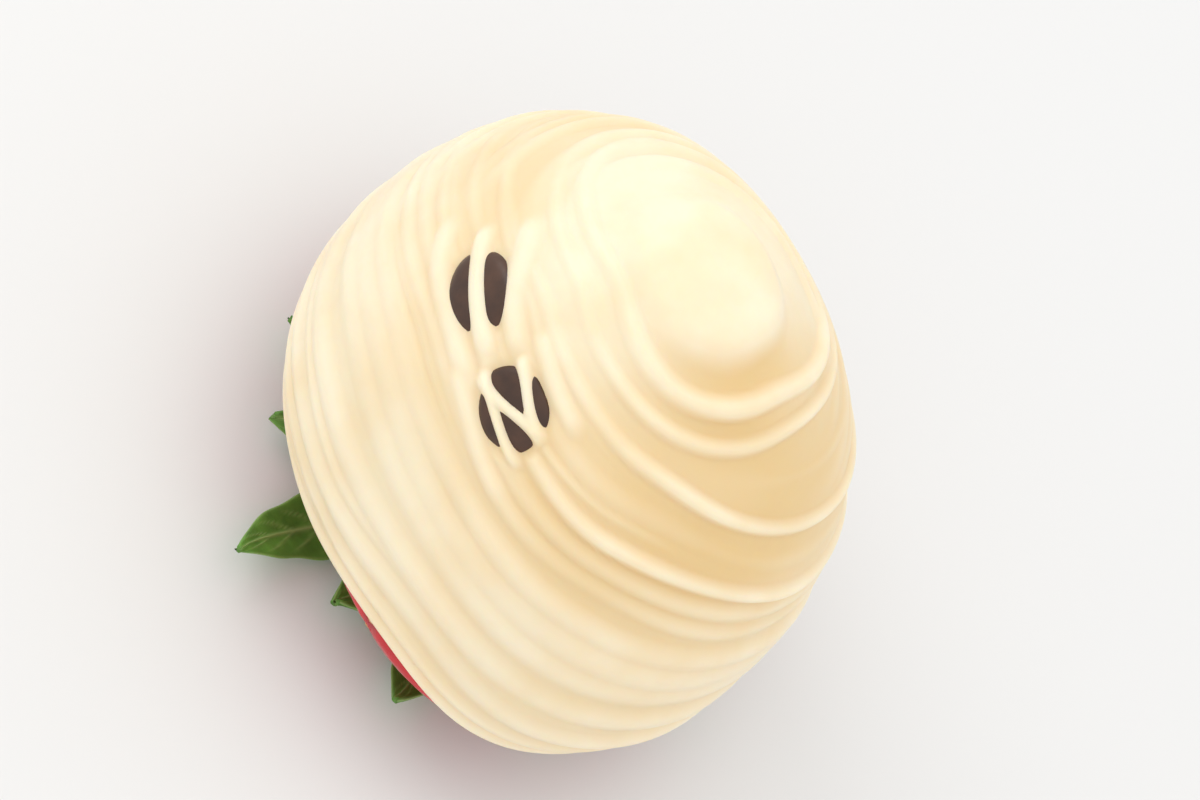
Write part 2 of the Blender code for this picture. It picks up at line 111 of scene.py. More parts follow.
# Each strand in millimetres: travel from the tip at the front and how far it sinks, the degrees
# from the front at which it starts to sink on the right, its height where strands gather and
# where they stand apart, and its half width
Strand = namedtuple("Strand", "front sink start gathered apart half_width")
STRANDS = (
    Strand(8.4, 8.0, 60, 0.40, 0.75, 1.15),
    Strand(11.2, 7.6, 62, 0.25, 0.52, 0.85),
    Strand(14.1, 11.0, 15, 0.18, 0.62, 0.90),
    Strand(17.0, 11.6, 15, 0.20, 0.12, 1.00),
    Strand(19.9, 12.0, 15, 0.22, 0.64, 0.90),
    Strand(21.9, 12.0, 15, 0.22, 0.30, 0.95),
    Strand(23.6, 11.6, 14, 0.26, 0.25, 0.95),
    Strand(26.6, 10.4, 12, 0.30, 0.42, 1.50),
    Strand(28.9, 9.4, 12, 0.30, 0.36, 1.90),
    Strand(31.2, 8.4, 12, 0.28, 0.36, 1.60),
    Strand(35.2, 6.1, 12, 0.34, 0.42, 1.60),
    Strand(39.2, 3.6, 12, 0.34, 0.42, 1.50),
    Strand(42.2, 1.6, 12, 0.30, 0.35, 1.20),
    Strand(44.9, 0.0, 12, 0.40, 0.45, 1.10),
)

# Strands of the far side: where they begin and end, and the least and most of each measure
BACK_SEED = 7
BACK_TURN = math.radians(105)
BACK_HALF_ANGLE = math.radians(85)
BACK_FADE = 1.25
BACK_START = 13.5 * MM
BACK_END = 45.0 * MM
BACK_STEP = (2.4 * MM, 3.6 * MM)
BACK_LEAN = (-1.6 * MM, 1.6 * MM)
BACK_WAVE = 0.35 * MM
BACK_HEIGHT = (0.35 * MM, 0.6 * MM)
BACK_HALF_WIDTH = (0.9 * MM, 1.3 * MM)

# Thin strands over the main ones: travel in millimetres of the first and from it to the last,
# turns in radians about which they show, and the least and most of each measure
FINE_SEED = 41
FINE_FIRST = 9.0
FINE_REACH = 36.0
FINE_SINK_SHARE = (0.85, 1.1)
FINE_MIDDLES = (-2.6, -2.2, 2.9, 1.2, 2.0)
FINE_STRAY = (-0.4, 0.4)
FINE_SPAN = (0.7, 1.5)
FINE_FADE = 1.4
FINE_WAVE = 0.3 * MM
FINE_HEIGHT = (0.10 * MM, 0.24 * MM)
FINE_HALF_WIDTH = (0.45 * MM, 0.8 * MM)

# Slight unevenness of the whole coating: two waves, and how high strands may pile up
LONG_SWELL = 0.05 * MM
LONG_SWELL_TRAVEL = 2.1 * MM
SHORT_SWELL = 0.04 * MM
SHORT_SWELL_TRAVEL = 1.3 * MM
EVEN_TIP = 6.0 * MM
MOST_HEIGHT = 1.15

# Smooth cap over the tip: a shallow dish with its middle off the tip, and its ramp to the drizzle
CAP_OFFSET = 1.6 * MM
CAP_TURN = math.radians(169)
CAP_RADIUS = 5.0 * MM
CAP_RAMP = 3.0 * MM
CAP_HOLLOW = 0.22 * MM
CAP_HOLLOW_RADIUS = 4.6 * MM

# Lift of the painted valley shade towards the crests' colour: where strands gather, round the tip, low
# down
GATHERED_TONE = 0.3
TIP_TONE = 0.9
TIP_TONE_TRAVEL = 11.0 * MM
TIP_TONE_FADE = 8.0 * MM
LOW_TONE = 0.4
LOW_TONE_TRAVEL = 20.0 * MM
LOW_TONE_FADE = 12.0 * MM

# Dark dots: travel from the tip and turn, with half sizes down and across
DOTS = ((19.45 * MM, math.radians(-142)), (19.4 * MM, math.radians(-105)))
DOT_DOWN = 3.2 * MM
DOT_ACROSS = 3.75 * MM
DOT_RIM_DEPTH = 1.2 * MM
DOT_FOOT = 0.1 * MM
DOT_SQUARENESS = 8
DOT_CLEARED = 0.9
DOT_CLEAR_FADE = 0.25
DOT_UNEVEN = (0.03, 0.02)

# Threads over each dot: distance below its middle, slope, half width, reach and height, a share of
# the valley's depth; distances are in millimetres
Thread = namedtuple("Thread", "below slope half_width reach height")
DOT_THREADS = (
    (
        Thread(0.15, 0.0, 1.15, 6.5, 0.95),
        Thread(-2.95, 0.22, 1.3, 7.5, 0.68),
        Thread(3.1, -0.22, 1.3, 7.5, 0.68),
    ),
    (
        Thread(-1.53, 0.28, 0.82, 4.3, 0.95),
        Thread(0.2, -0.47, 0.82, 4.1, 0.95),
        Thread(1.38, 0.15, 0.68, 4.5, 0.95),
        Thread(-3.9, 0.10, 1.1, 6.0, 0.62),
        Thread(3.75, 0.20, 1.1, 6.0, 0.62),
    ),
)
THREAD_BEND = 3.0 * MM
THREAD_FADE = 0.4

# Seeds and dimples of the bare shoulder, and the skin's tone near the leaves
SEED_TRAVELS = (44.9 * MM, 47.6 * MM, 50.3 * MM, 53.0 * MM)
SEED_CLEARANCE = 1.8 * MM
SEED_SIZE = (1.0 * MM, 1.65 * MM, 0.75 * MM)
SEED_GROWTH = (0.9, 1.08)
SEED_LEAN = 0.25
SEED_NARROWING = 0.45
SEED_DRAW = 3
SEED_SINK = 0.6
DIMPLE_HALF_LENGTH = 1.5 * MM
DIMPLE_HALF_WIDTH = 1.15 * MM
SHOWN_TRAVEL = 39.0 * MM
RIB = 0.12 * MM
RIB_COUNT = 7
RIB_TRAVEL = 40.0 * MM
RIB_FADE = 8.0 * MM
MOST_PALENESS = 0.75
PALE_TRAVEL = 52.0 * MM
PALE_FADE = 10.0 * MM

# Leafy cap, as the solids have it
HUB_RADIUS = 6.2 * MM
HUB_HEIGHT = 1.4 * MM
HUB_RIB = 0.02
LEAF_PAIRS = 6
LEAF_SEED = 5
LEAF_STRAY = 0.04
SOLID_LEAF = 0.5 * MM
LEAF_START = 3.4 * MM
LEAF_ROOT_SHARE = 0.34
LEAF_WIDENING = 2.5
LEAF_NARROWING = 2.8
LEAF_TIP_SHARE = 0.2
LEAF_POINT = 0.9
LEAF_CLOSING = 0.9
TOOTH_DEPTH = 0.05
TOOTH_RATE = 26
MIDRIB_WIDTH = 0.07
VEIN_COUNT = 7
VEIN_SLANT = 1.6
VEIN_WIDTH = 0.09
VEIN_RISE = 0.05 * MM
RIPPLE = 0.25 * MM
BRACT_CURL_START = 0.45
BRACT_CURL_POWER = 1.7
BRACT_HALF_WIDTH = 2.9 * MM
BRACT_REACH = (18.5 * MM, 22.5 * MM)
BRACT_CURL = (2.0 * MM, 4.5 * MM)
BRACT_CUP = 0.4 * MM
BRACT_LIFT = 0.55
BRACT_BEND = 0.15
BRACT_RIPPLES = 9
SEPAL_HALF_WIDTH = 4.2 * MM
SEPAL_LENGTH = (12.5 * MM, 15.0 * MM)
SEPAL_ROOT_GAP = 0.35 * MM
SEPAL_GAP = 1.0 * MM
SEPAL_FLARE = (0.8 * MM, 2.4 * MM)
SEPAL_FLARE_START = 0.65
SEPAL_BEND = 0.1
SEPAL_RIPPLES = 8
SEPAL_FLAT_SHARE = 0.3

# Lights: direction from the berry, distance and size
KEY_LIGHT = ((-0.77, 0.05, 0.64), 0.5, 0.35)
TOP_LIGHT = ((0.1, 0.1, 1.0), 0.6, 0.5)
KEY_COLOR = (1.0, 0.985, 0.96)


class CoatingLook(PropertyGroup):
    """White chocolate and its drizzle"""

    valley_depth: FloatProperty(
        name="Valley depth", description="How deep the drizzle's valleys lie under its crests",
        default=0.8 * MM, min=0.0, max=0.002, unit="LENGTH", precision=5)
    columns: IntProperty(
        name="Columns", description="Faces round the coating", default=440, min=48, max=480)
    rows: IntProperty(
        name="Rows", description="Faces from the tip to the edge", default=196, min=24, max=210)
    fine_strands: IntProperty(
        name="Fine strands", description="Thin strands drizzled over the main ones",
        default=34, min=0, max=80)
    crest_color: FloatVectorProperty(
        name="Crest colour", description="Cream colour of the raised strands", subtype="COLOR",
        default=(0.955, 0.82, 0.61), min=0.0, max=1.0)
    # Painted shade: the darker cream that the valleys between the strands take, standing in for shade that
    # falls there
    valley_shade_color: FloatVectorProperty(
        name="Valley colour", description="Deeper cream between the strands", subtype="COLOR",
        default=(0.82, 0.58, 0.28), min=0.0, max=1.0)
    roughness: FloatProperty(
        name="Roughness", description="Roughness of the set chocolate", subtype="FACTOR",
        default=0.42, min=0.0, max=1.0)


class DotLook(PropertyGroup):
    """Dark chocolate dots"""

    depth: FloatProperty(
        name="Depth", description="How deep a dot's middle lies under the crests around it",
        default=0.40 * MM, min=0.0, max=0.002, unit="LENGTH", precision=5)
    color: FloatVectorProperty(
        name="Colour", description="Colour of the dark chocolate", subtype="COLOR",
        default=(0.055, 0.022, 0.010), min=0.0, max=1.0)


class FruitLook(PropertyGroup):
    """Red fruit and its seeds"""

    seed_spacing: FloatProperty(
        name="Seed spacing", description="Distance between seeds round the shoulder",
        default=4.7 * MM, min=0.002, max=0.01, unit="LENGTH", precision=4)
    dimple_depth: FloatProperty(
        name="Dimple depth", description="How deep each seed's dimple is",
        default=0.45 * MM, min=0.0, max=0.002, unit="LENGTH", precision=5)
    skin_color: FloatVectorProperty(
        name="Skin colour", description="Colour of the ripe skin", subtype="COLOR",
        default=(0.60, 0.012, 0.022), min=0.0, max=1.0)
    pale_color: FloatVectorProperty(
        name="Pale colour", description="Colour of the skin near the leaves", subtype="COLOR",
        default=(0.80, 0.26, 0.13), min=0.0, max=1.0)
    seed_color: FloatVectorProperty(
        name="Seed colour", description="Colour of the seeds", subtype="COLOR",
        default=(0.72, 0.42, 0.10), min=0.0, max=1.0)


class LeafLook(PropertyGroup):
    """Leafy cap"""

    thickness: FloatProperty(
        name="Leaf thickness", description="Thickness of each leaf",
        default=0.45 * MM, min=0.0001, max=0.001, unit="LENGTH", precision=5)
    color: FloatVectorProperty(
        name="Leaf colour", description="Colour of the leaves", subtype="COLOR",
        default=(0.10, 0.25, 0.035), min=0.0, max=1.0)
    vein_color: FloatVectorProperty(
        name="Vein colour", description="Colour of the veins and the rims", subtype="COLOR",
        default=(0.30, 0.44, 0.14), min=0.0, max=1.0)


class StudioLook(PropertyGroup):
    """Floor, lights and camera"""

    floor_color: FloatVectorProperty(
        name="Floor colour", description="Colour of the plain floor", subtype="COLOR",
        default=(0.80, 0.80, 0.795), min=0.0, max=1.0)
    elevation: FloatProperty(
        name="Elevation", description="Height of the camera above the horizon", subtype="ANGLE",
        default=math.radians(55), min=0.0, max=math.pi / 2)
    roll: FloatProperty(
        name="Roll", description="Turn of the camera about its own axis", subtype="ANGLE",
        default=math.radians(49), min=-math.pi, max=math.pi)
    distance: FloatProperty(
        name="Distance", description="Distance from the camera to the berry's middle",
        default=0.705, min=0.1, max=3.0, unit="LENGTH")
    lens: FloatProperty(
        name="Lens", description="Focal length in millimetres", default=300.0, min=20.0, max=500.0)
    key_power: FloatProperty(
        name="Key light", description="Power of the key light", default=0.47, min=0.0, unit="POWER")
    fill_power: FloatProperty(
        name="Fill light", description="Power of the fill light", default=0.13, min=0.0, unit="POWER")
    sky: FloatProperty(
        name="Sky", description="Brightness of the surroundings", default=1.04, min=0.0)


class BerryOutline:
    """Turned outline over the crests: nose arc, tangent belly arc, elliptical shoulder, flat end."""

    def __init__(self):
        self.widest = MEAN_WIDTH / 2
        nose_height = TIP_RISE - NOSE_RADIUS
        spare = self.widest ** 2 + nose_height ** 2 - NOSE_RADIUS ** 2
        self.belly = spare / (2 * (self.widest - NOSE_RADIUS))
        self.nose_angle = math.atan2(self.belly - self.widest, nose_height)
        self.nose_travel = NOSE_RADIUS * self.nose_angle
        self.ring_travel = self.nose_travel + self.belly * (math.pi / 2 - self.nose_angle)
        self.shoulder = self.widest - STEM_END_RADIUS
        self.shoulder_mean = math.sqrt((self.shoulder ** 2 + SHOULDER_DROP ** 2) / 2)
        self.end_travel = self.ring_travel + self.shoulder_mean * math.pi / 2

    def at(self, travel):
        """Radius, height and lean of the outward normal from +Z, for an array of travels."""
        travel = np.asarray(travel, float)
        nose = travel / NOSE_RADIUS
        belly = self.nose_angle + (travel - self.nose_travel) / self.belly
        bend = np.clip((travel - self.ring_travel) / self.shoulder_mean, 0.0, math.pi / 2)
        lean = math.pi / 2 + np.arctan2(np.sin(bend) / SHOULDER_DROP, np.cos(bend) / self.shoulder)
        where = (travel < self.nose_travel, travel < self.ring_travel, travel < self.end_travel)
        radius = np.select(
            where,
            (
                NOSE_RADIUS * np.sin(nose),
                self.widest - self.belly + self.belly * np.sin(belly),
                STEM_END_RADIUS + self.shoulder * np.cos(bend),
            ),
            STEM_END_RADIUS - (travel - self.end_travel),
        )
        height = np.select(
            where,
            (
                TIP_RISE - NOSE_RADIUS + NOSE_RADIUS * np.cos(nose),
                self.belly * np.cos(belly),
                -SHOULDER_DROP * np.sin(bend),
            ),
            -SHOULDER_DROP,
        )
        return radius, height, np.select(where, (nose, belly, lean), math.pi)

    def points(self, travel, turn, inward):
        """Points on the oval berry, an array with x, y and z last."""
        radius, height, lean = self.at(travel)
        radius = np.maximum(radius - inward * np.sin(lean), 0.0) * section(travel, turn)
        height = height + RING_HEIGHT - inward * np.cos(lean)
        return np.stack(np.broadcast_arrays(radius * np.cos(turn), radius * np.sin(turn), height), axis=-1)

    def frame(self, travel, turn, inward):
        """Matrix at a surface point: Z points out of the berry, Y runs down its side."""
        step = 0.2 * MM
        turn_step = 0.01
        spot = Vector(self.points(travel, turn, inward))
        down = (Vector(self.points(travel + step, turn, inward)) - spot).normalized()
        across = (Vector(self.points(travel, turn + turn_step, inward)) - spot).normalized()
        out = down.cross(across)
        side = down.cross(out)
        return Matrix.Translation(spot) @ Matrix((side, down, out)).transposed().to_4x4()


def section(travel, turn):
    """How much wider or narrower than round the berry is: oval, with soft corners lower down."""
    oval = OVAL * np.cos(2 * (turn - OVAL_TURN))
    corner = turn - CORNER_TURN
    corners = THREE_CORNERS * np.cos(3 * corner) + FOUR_CORNERS * np.cos(4 * corner)
    return 1 + oval + corners * smooth(travel / CORNER_TRAVEL)


OUTLINE = BerryOutline()


def smooth(share):
    """Smooth step from 0 to 1, for numbers and arrays."""
    share = np.clip(share, 0.0, 1.0)
    return share * share * (3 - 2 * share)


def turn_apart(turn, other):
    """Signed angle between two turns, from -180 to 180 degrees."""
    return (turn - other + math.pi) % math.tau - math.pi


def coating_edge(turn):
    """Travel to the coating's lower edge, which runs higher over the bare patch."""
    bare = np.exp(-(turn_apart(turn, BARE_TURN) / BARE_HALF_ANGLE) ** 2)
    wave = sum(share * np.sin(waves * turn + phase) for waves, phase, share in (BROAD_WAVE, SHORT_WAVE))
    return EDGE_TRAVEL - BARE_RISE * bare + EDGE_WAVE * wave


def fruit_depth(travel, turn):
    """Depth of the fruit's skin, which swells out past the coating's edge."""
    past = smooth((travel - coating_edge(turn) - SWELL_START) / SWELL_RISE)
    fade = 1 - smooth((travel - SWELL_END) / SWELL_FADE)
    return FRUIT_INSIDE - SWELL * past * fade


def loop_path(front, sink, start, turn):
    """Travel of a loop of drizzle, level at the front and sunk at the back."""
    off = turn_apart(turn, FRONT_TURN)
    right = smooth((off - start) / RIGHT_SPAN)
    left = smooth((-off - LEFT_START) / LEFT_SPAN)
    return front + sink * (left + right)


def crowded(path, turn):
    """Travel of a strand, crowded up where the coating ends early."""
    room = (coating_edge(turn) - LIP - CROWD_START) / (STRANDS[-1].front * MM - CROWD_START)
    return np.where(path > CROWD_START, CROWD_START + (path - CROWD_START) * room, path)


def bead(off, half_width):
    """Rounded cross-section of a strand, 1 at its crest and 0 beyond its half width."""
    return np.clip(1 - (off / half_width) ** 2, 0.0, None) ** 1.5


def dot_offsets(travel, turn, dot):
    """Distances down and across the surface from a dot's middle."""
    dot_travel, dot_turn = dot
    return travel - dot_travel, turn_apart(turn, dot_turn) * OUTLINE.at(dot_travel)[0]


def near_dots(travel, turn):
    """1 on the dots and just round them, 0 away from them."""
    near = np.zeros(np.broadcast(travel, turn).shape)
    for dot in DOTS:
        down, across = dot_offsets(travel, turn, dot)
        off = np.hypot(down / DOT_DOWN, across / DOT_ACROSS)
        near = np.maximum(near, 1 - smooth((off - DOT_CLEARED) / DOT_CLEAR_FADE))
    return near


def soft_union(heights):
    """Union of heights that lets crossing strands melt into each other."""
    return sum(height ** UNION_POWER for height in heights) ** (1 / UNION_POWER)


def main_strands(travel, turn):
    """Heights of the main strands, in metres."""
    draw = random.Random(SWAY_SEED)
    apart = (0.5 + 0.5 * np.cos(turn - APART_TURN)) ** APART_POWER
    for strand in STRANDS:
        waves = draw.choice((2, 3, 5))
        phase = draw.uniform(0, math.tau)
        path = loop_path(strand.front * MM, strand.sink * MM, math.radians(strand.start), turn)
        path = crowded(path + SWAY * np.sin(waves * turn + phase), turn)
        height = (strand.gathered * (1 - apart) + strand.apart * apart) * MM
        height = height * (1 + HEIGHT_SWAY * np.sin((waves + 2) * turn + 2 * phase))
        yield height * bead(travel - path, strand.half_width * MM)


def back_strands(travel, turn):
    """Heights of the strands that only the far side has, in metres."""
    draw = random.Random(BACK_SEED)
    behind = smooth(BACK_FADE - np.abs(turn_apart(turn, BACK_TURN)) / BACK_HALF_ANGLE)
    start = BACK_START
    while start < BACK_END:
        waves = draw.choice((2, 3, 4))
        phase = draw.uniform(0, math.tau)
        lean = draw.uniform(*BACK_LEAN)
        path = start + lean * np.sin(turn - BACK_TURN) + BACK_WAVE * np.sin(waves * turn + phase)
        height = draw.uniform(*BACK_HEIGHT) * behind
        yield height * bead(travel - path, draw.uniform(*BACK_HALF_WIDTH))
        start += draw.uniform(*BACK_STEP)


def fine_strands(travel, turn, count):
    """Heights of thin strands drizzled over the main ones, in metres."""
    draw = random.Random(FINE_SEED)
    fronts = [strand.front for strand in STRANDS]
    sinks = [strand.sink for strand in STRANDS]
    starts = [strand.start for strand in STRANDS]
    for number in range(count):
        front = FINE_FIRST + FINE_REACH * (number + draw.random()) / count
        sink = np.interp(front, fronts, sinks) * draw.uniform(*FINE_SINK_SHARE)
        start = math.radians(np.interp(front, fronts, starts))
        phase = draw.uniform(0, math.tau)
        middle = draw.choice(FINE_MIDDLES) + draw.uniform(*FINE_STRAY)
        span = draw.uniform(*FINE_SPAN)
        shown = smooth(FINE_FADE - np.abs(turn_apart(turn, middle)) / span)
        wave = FINE_WAVE * np.sin(3 * turn + phase)
        path = crowded(loop_path(front * MM, sink * MM, start, turn) + wave, turn)
        height = draw.uniform(*FINE_HEIGHT) * shown
        yield height * bead(travel - path, draw.uniform(*FINE_HALF_WIDTH))


def dot_threads(travel, turn, valley):
    """Heights of the threads that cross the dark dots, in metres."""
    for dot, threads in zip(DOTS, DOT_THREADS):
        down, across = dot_offsets(travel, turn, dot)
        for thread in threads:
            end = THREAD_FADE * thread.reach
            fade = 1 - smooth((np.abs(across) / MM - thread.reach + end) / end)
            off = down - thread.below * MM - thread.slope * THREAD_BEND * np.tanh(across / THREAD_BEND)
            yield thread.height * valley * fade * bead(off, thread.half_width * MM)


def cap_height(travel, turn, valley):
    """Height of the cap over the valleys: a hollow inside its rim, a ramp outside it."""
    off = turn - CAP_TURN
    out = np.hypot(travel * np.cos(off) - CAP_OFFSET, travel * np.sin(off))
    ramp = 1 - smooth((out - CAP_RADIUS) / CAP_RAMP)
    return valley * ramp - CAP_HOLLOW * (1 - smooth(out / CAP_HOLLOW_RADIUS))


def drizzle_depth(travel, turn, look):
    """How far the coating's surface lies under the outline of its crests."""
    valley = look.valley_depth
    strands = list(main_strands(travel, turn))
    strands += back_strands(travel, turn)
    strands += fine_strands(travel, turn, look.fine_strands)
    drizzle = soft_union(strands) * (1 - near_dots(travel, turn))
    height = soft_union([cap_height(travel, turn, valley), drizzle, *dot_threads(travel, turn, valley)])
    swell = LONG_SWELL * np.sin(3 * turn + travel / LONG_SWELL_TRAVEL)
    swell = swell + SHORT_SWELL * np.sin(5 * turn - travel / SHORT_SWELL_TRAVEL)
    return valley - np.minimum(height, MOST_HEIGHT * valley) + swell * smooth(travel / EVEN_TIP)


def valley_shade_lift(travel, turn):
    """How far the valleys' painted shade is lifted towards the crests' colour, from 0 to 1."""
    apart = (0.5 + 0.5 * np.cos(turn - APART_TURN)) ** APART_POWER
    tip = 1 - smooth((travel - TIP_TONE_TRAVEL) / TIP_TONE_FADE)
    gathered = (1 - apart) * (GATHERED_TONE + (TIP_TONE - GATHERED_TONE) * tip)
    low = LOW_TONE * smooth((travel - LOW_TONE_TRAVEL) / LOW_TONE_FADE)
    return 1 - (1 - gathered) * (1 - low)


def mesh_from_rows(name, rows):
    """Closed mesh from rows of points that run round the axis; its first and last rows are poles."""
    count, columns = rows.shape[:2]
    ring_points = rows[1:-1].reshape(-1, 3)
    points = [rows[0].mean(axis=0), *ring_points, rows[-1].mean(axis=0)]
    last = len(points) - 1
    faces = []
    for column in range(columns):
        after = (column + 1) % columns
        faces.append((0, 1 + column, 1 + after))
        for row in range(count - 3):
            top = 1 + row * columns
            below = top + columns
            faces.append((top + column, below + column, below + after, top + after))
        bottom = 1 + (count - 3) * columns
        faces.append((bottom + column, last, bottom + after))
    mesh = bpy.data.meshes.new(name)
    mesh.from_pydata([tuple(point) for point in points], [], faces)
    mesh.shade_smooth()
    return mesh


def new_piece(name, mesh, slot, *nodes):
    """Shown piece of a mesh that rides on the berry's body and stands for CAD nodes."""
    piece = bpy.data.objects.new(name, mesh)
    bpy.context.scene.collection.objects.link(piece)
    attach(piece, BODY)
    if nodes:
        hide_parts(*nodes)
    return piece


def add_attribute(mesh, name, values):
    """Number for each point, for the materials to read."""
    attribute = mesh.attributes.new(name, "FLOAT", "POINT")
    attribute.data.foreach_set("value", np.asarray(values, np.float32))


class Finish:
    """A Principled material with helpers that lay out its nodes."""

    def __init__(self, name, roughness, specular=0.5):
        self.material = bpy.data.materials.new(name)
        self.material.use_nodes = True
        self.tree = self.material.node_tree
        self.shader = self.tree.nodes["Principled BSDF"]
        self.set("Roughness", roughness)
        self.set("Specular IOR Level", specular)
        self.spot = self.node("ShaderNodeTexCoord").outputs["Object"]

    def set(self, socket, value):
        """Give one of the shader's own sockets a constant."""
        self.shader.inputs[socket].default_value = value

    def link(self, source, target):
        self.tree.links.new(source, target)

    def node(self, kind, **values):
        """New node with its properties or input values set by name."""
        item = self.tree.nodes.new(kind)
        for key, value in values.items():
            if hasattr(item, key):
                setattr(item, key, value)
            else:
                item.inputs[key.replace("_", " ")].default_value = value
        return item

    def noise(self, scale, detail=3.0, rough=0.5, stretch=None):
        """Noise factor over the piece, scale in lumps a metre."""
        texture = self.node("ShaderNodeTexNoise", Scale=scale, Detail=detail, Roughness=rough)
        if stretch:
            mapping = self.node("ShaderNodeMapping")
            mapping.inputs["Scale"].default_value = stretch
            self.link(self.spot, mapping.inputs["Vector"])
            self.link(mapping.outputs["Vector"], texture.inputs["Vector"])
        else:
            self.link(self.spot, texture.inputs["Vector"])
        return texture.outputs["Fac"]

    def attribute(self, name):
        """Number stored on the mesh's points."""
        return self.node("ShaderNodeAttribute", attribute_name=name).outputs["Fac"]

    def ramp(self, factor, *stops):
        """Colour ramp through (position, colour) stops."""
        item = self.node("ShaderNodeValToRGB")
        elements = item.color_ramp.elements
        while len(elements) < len(stops):
            elements.new(0.5)
        for element, (position, color) in zip(elements, stops):
            element.position = position
            element.color = (*color, 1.0)
        self.link(factor, item.inputs["Fac"])
        return item.outputs["Color"]

    def span(self, factor, low, high, start=0.0, end=1.0):
        """Number moved from one range to another."""
        item = self.node("ShaderNodeMapRange")
        for socket, value in (("From Min", start), ("From Max", end), ("To Min", low), ("To Max", high)):
            item.inputs[socket].default_value = value
        self.link(factor, item.inputs["Value"])
        return item.outputs["Result"]

    def mix(self, factor, first, second, blend="MIX"):
        """Mix of two colours, each a socket or a colour."""
        item = self.node("ShaderNodeMix", data_type="RGBA", blend_type=blend)
        color_a, color_b = item.inputs[6], item.inputs[7]
        for socket, value in ((item.inputs[0], factor), (color_a, first), (color_b, second)):
            if isinstance(value, bpy.types.NodeSocket):
                self.link(value, socket)
            else:
                socket.default_value = (*value, 1.0) if isinstance(value, (tuple, list)) else value
        return item.outputs[2]

    def bump(self, *layers):
        """Stack of bumps, each a height factor with its depth in metres."""
        normal = None
        for factor, depth in layers:
            item = self.node("ShaderNodeBump", Strength=1.0, Distance=depth)
            self.link(factor, item.inputs["Height"])
            if normal:
                self.link(normal, item.inputs["Normal"])
            normal = item.outputs["Normal"]
        self.link(normal, self.shader.inputs["Normal"])


def shade(color, amount):
    """Colour made darker or lighter by a factor."""
    return tuple(min(channel * amount, 1.0) for channel in color)


def white_chocolate(look):
    """Set white chocolate: cream, a little see-through, satin, with painted shade making its valleys
    deeper in colour.
    """
    finish = Finish("white chocolate", look.roughness, specular=0.4)
    crest, valley = tuple(look.crest_color), tuple(look.valley_shade_color)
    unshaded = finish.attribute("unshaded")
    # Painted shade: the valleys take the darker valley colour as shade between the strands, the crests the
    # cream colour
    base = finish.ramp(unshaded, (0.0, valley), (0.75, crest), (1.0, shade(crest, 1.03)))
    cloud = finish.span(finish.noise(140.0, 3.0), 0.0, 0.35, 0.4, 0.7)
    base = finish.mix(cloud, base, shade(valley, 1.04))
    finish.link(base, finish.shader.inputs["Base Color"])
    finish.link(finish.span(finish.noise(320.0, 4.0), look.roughness - 0.08, look.roughness + 0.1),
                finish.shader.inputs["Roughness"])
    finish.set("Subsurface Weight", 0.35)
    finish.set("Subsurface Radius", (1.0, 0.62, 0.3))
    finish.set("Subsurface Scale", 1.6 * MM)
    finish.set("IOR", 1.46)
    finish.bump((finish.noise(900.0, 4.0), 0.03 * MM), (finish.noise(260.0, 2.0), 0.10 * MM))
    return finish.material


def dark_chocolate(look):
    """Set dark chocolate with a faint bloom."""
    finish = Finish("dark chocolate", 0.35)
    dark = tuple(look.color)
    base = finish.ramp(finish.noise(500.0, 4.0), (0.35, shade(dark, 0.8)), (0.7, shade(dark, 1.5)))
    finish.link(base, finish.shader.inputs["Base Color"])
    finish.link(finish.span(finish.noise(800.0, 3.0), 0.28, 0.45), finish.shader.inputs["Roughness"])
    finish.bump((finish.noise(1400.0, 3.0), 0.03 * MM),)
    return finish.material


def fruit_skin(look):
    """Moist red skin, paler towards the leaves, with painted shade darkening it in the dimples."""
    finish = Finish("strawberry skin", 0.28)
    red, pale = tuple(look.skin_color), tuple(look.pale_color)
    mottled = finish.ramp(finish.noise(420.0, 3.0), (0.3, shade(red, 0.8)), (0.7, shade(red, 1.12)))
    toned = finish.mix(finish.attribute("paleness"), mottled, pale)
    # Painted shade: the dimples are darkened towards a deep red as shade falling in them
    base = finish.mix(finish.attribute("dimple"), toned, shade(red, 0.55))
    finish.link(base, finish.shader.inputs["Base Color"])
    finish.link(finish.span(finish.noise(700.0, 3.0), 0.2, 0.38), finish.shader.inputs["Roughness"])
    finish.set("Subsurface Weight", 0.25)
    finish.set("Subsurface Radius", (1.0, 0.25, 0.15))
    finish.set("Subsurface Scale", 1.5 * MM)
    finish.set("Coat Weight", 0.2)
    finish.set("Coat Roughness", 0.12)
    finish.bump((finish.noise(1600.0, 3.0), 0.04 * MM), (finish.noise(500.0, 2.0), 0.08 * MM))
    return finish.material


def seed_skin(look):
    """Small straw-coloured seeds, redder at one end."""
    finish = Finish("strawberry seed", 0.35)
    straw = tuple(look.seed_color)
    base = finish.mix(finish.attribute("blush"), straw, (0.55, 0.10, 0.03))
    grain = finish.noise(2500.0, 2.0)
    base = finish.mix(finish.span(grain, 0.0, 0.5), base, shade(straw, 0.6))
    finish.link(base, finish.shader.inputs["Base Color"])
    finish.set("Coat Weight", 0.2)
    finish.bump((grain, 0.02 * MM),)
    return finish.material


def leaf_skin(look):
    """Leaf green with pale veins and rims."""
    finish = Finish("strawberry leaf", 0.55, specular=0.35)
    green, vein = tuple(look.color), tuple(look.vein_color)
    mottled = finish.ramp(finish.noise(500.0, 4.0), (0.3, shade(green, 0.7)), (0.7, shade(green, 1.35)))
    base = finish.mix(finish.attribute("vein"), mottled, vein)
    finish.link(base, finish.shader.inputs["Base Color"])
    finish.link(finish.span(finish.noise(900.0, 3.0), 0.45, 0.7), finish.shader.inputs["Roughness"])
    finish.set("Subsurface Weight", 0.12)
    finish.set("Subsurface Radius", (0.5, 1.0, 0.2))
    finish.set("Subsurface Scale", 0.6 * MM)
    finish.bump((finish.noise(2200.0, 3.0), 0.03 * MM), (finish.attribute("vein"), 0.06 * MM))
    return finish.material


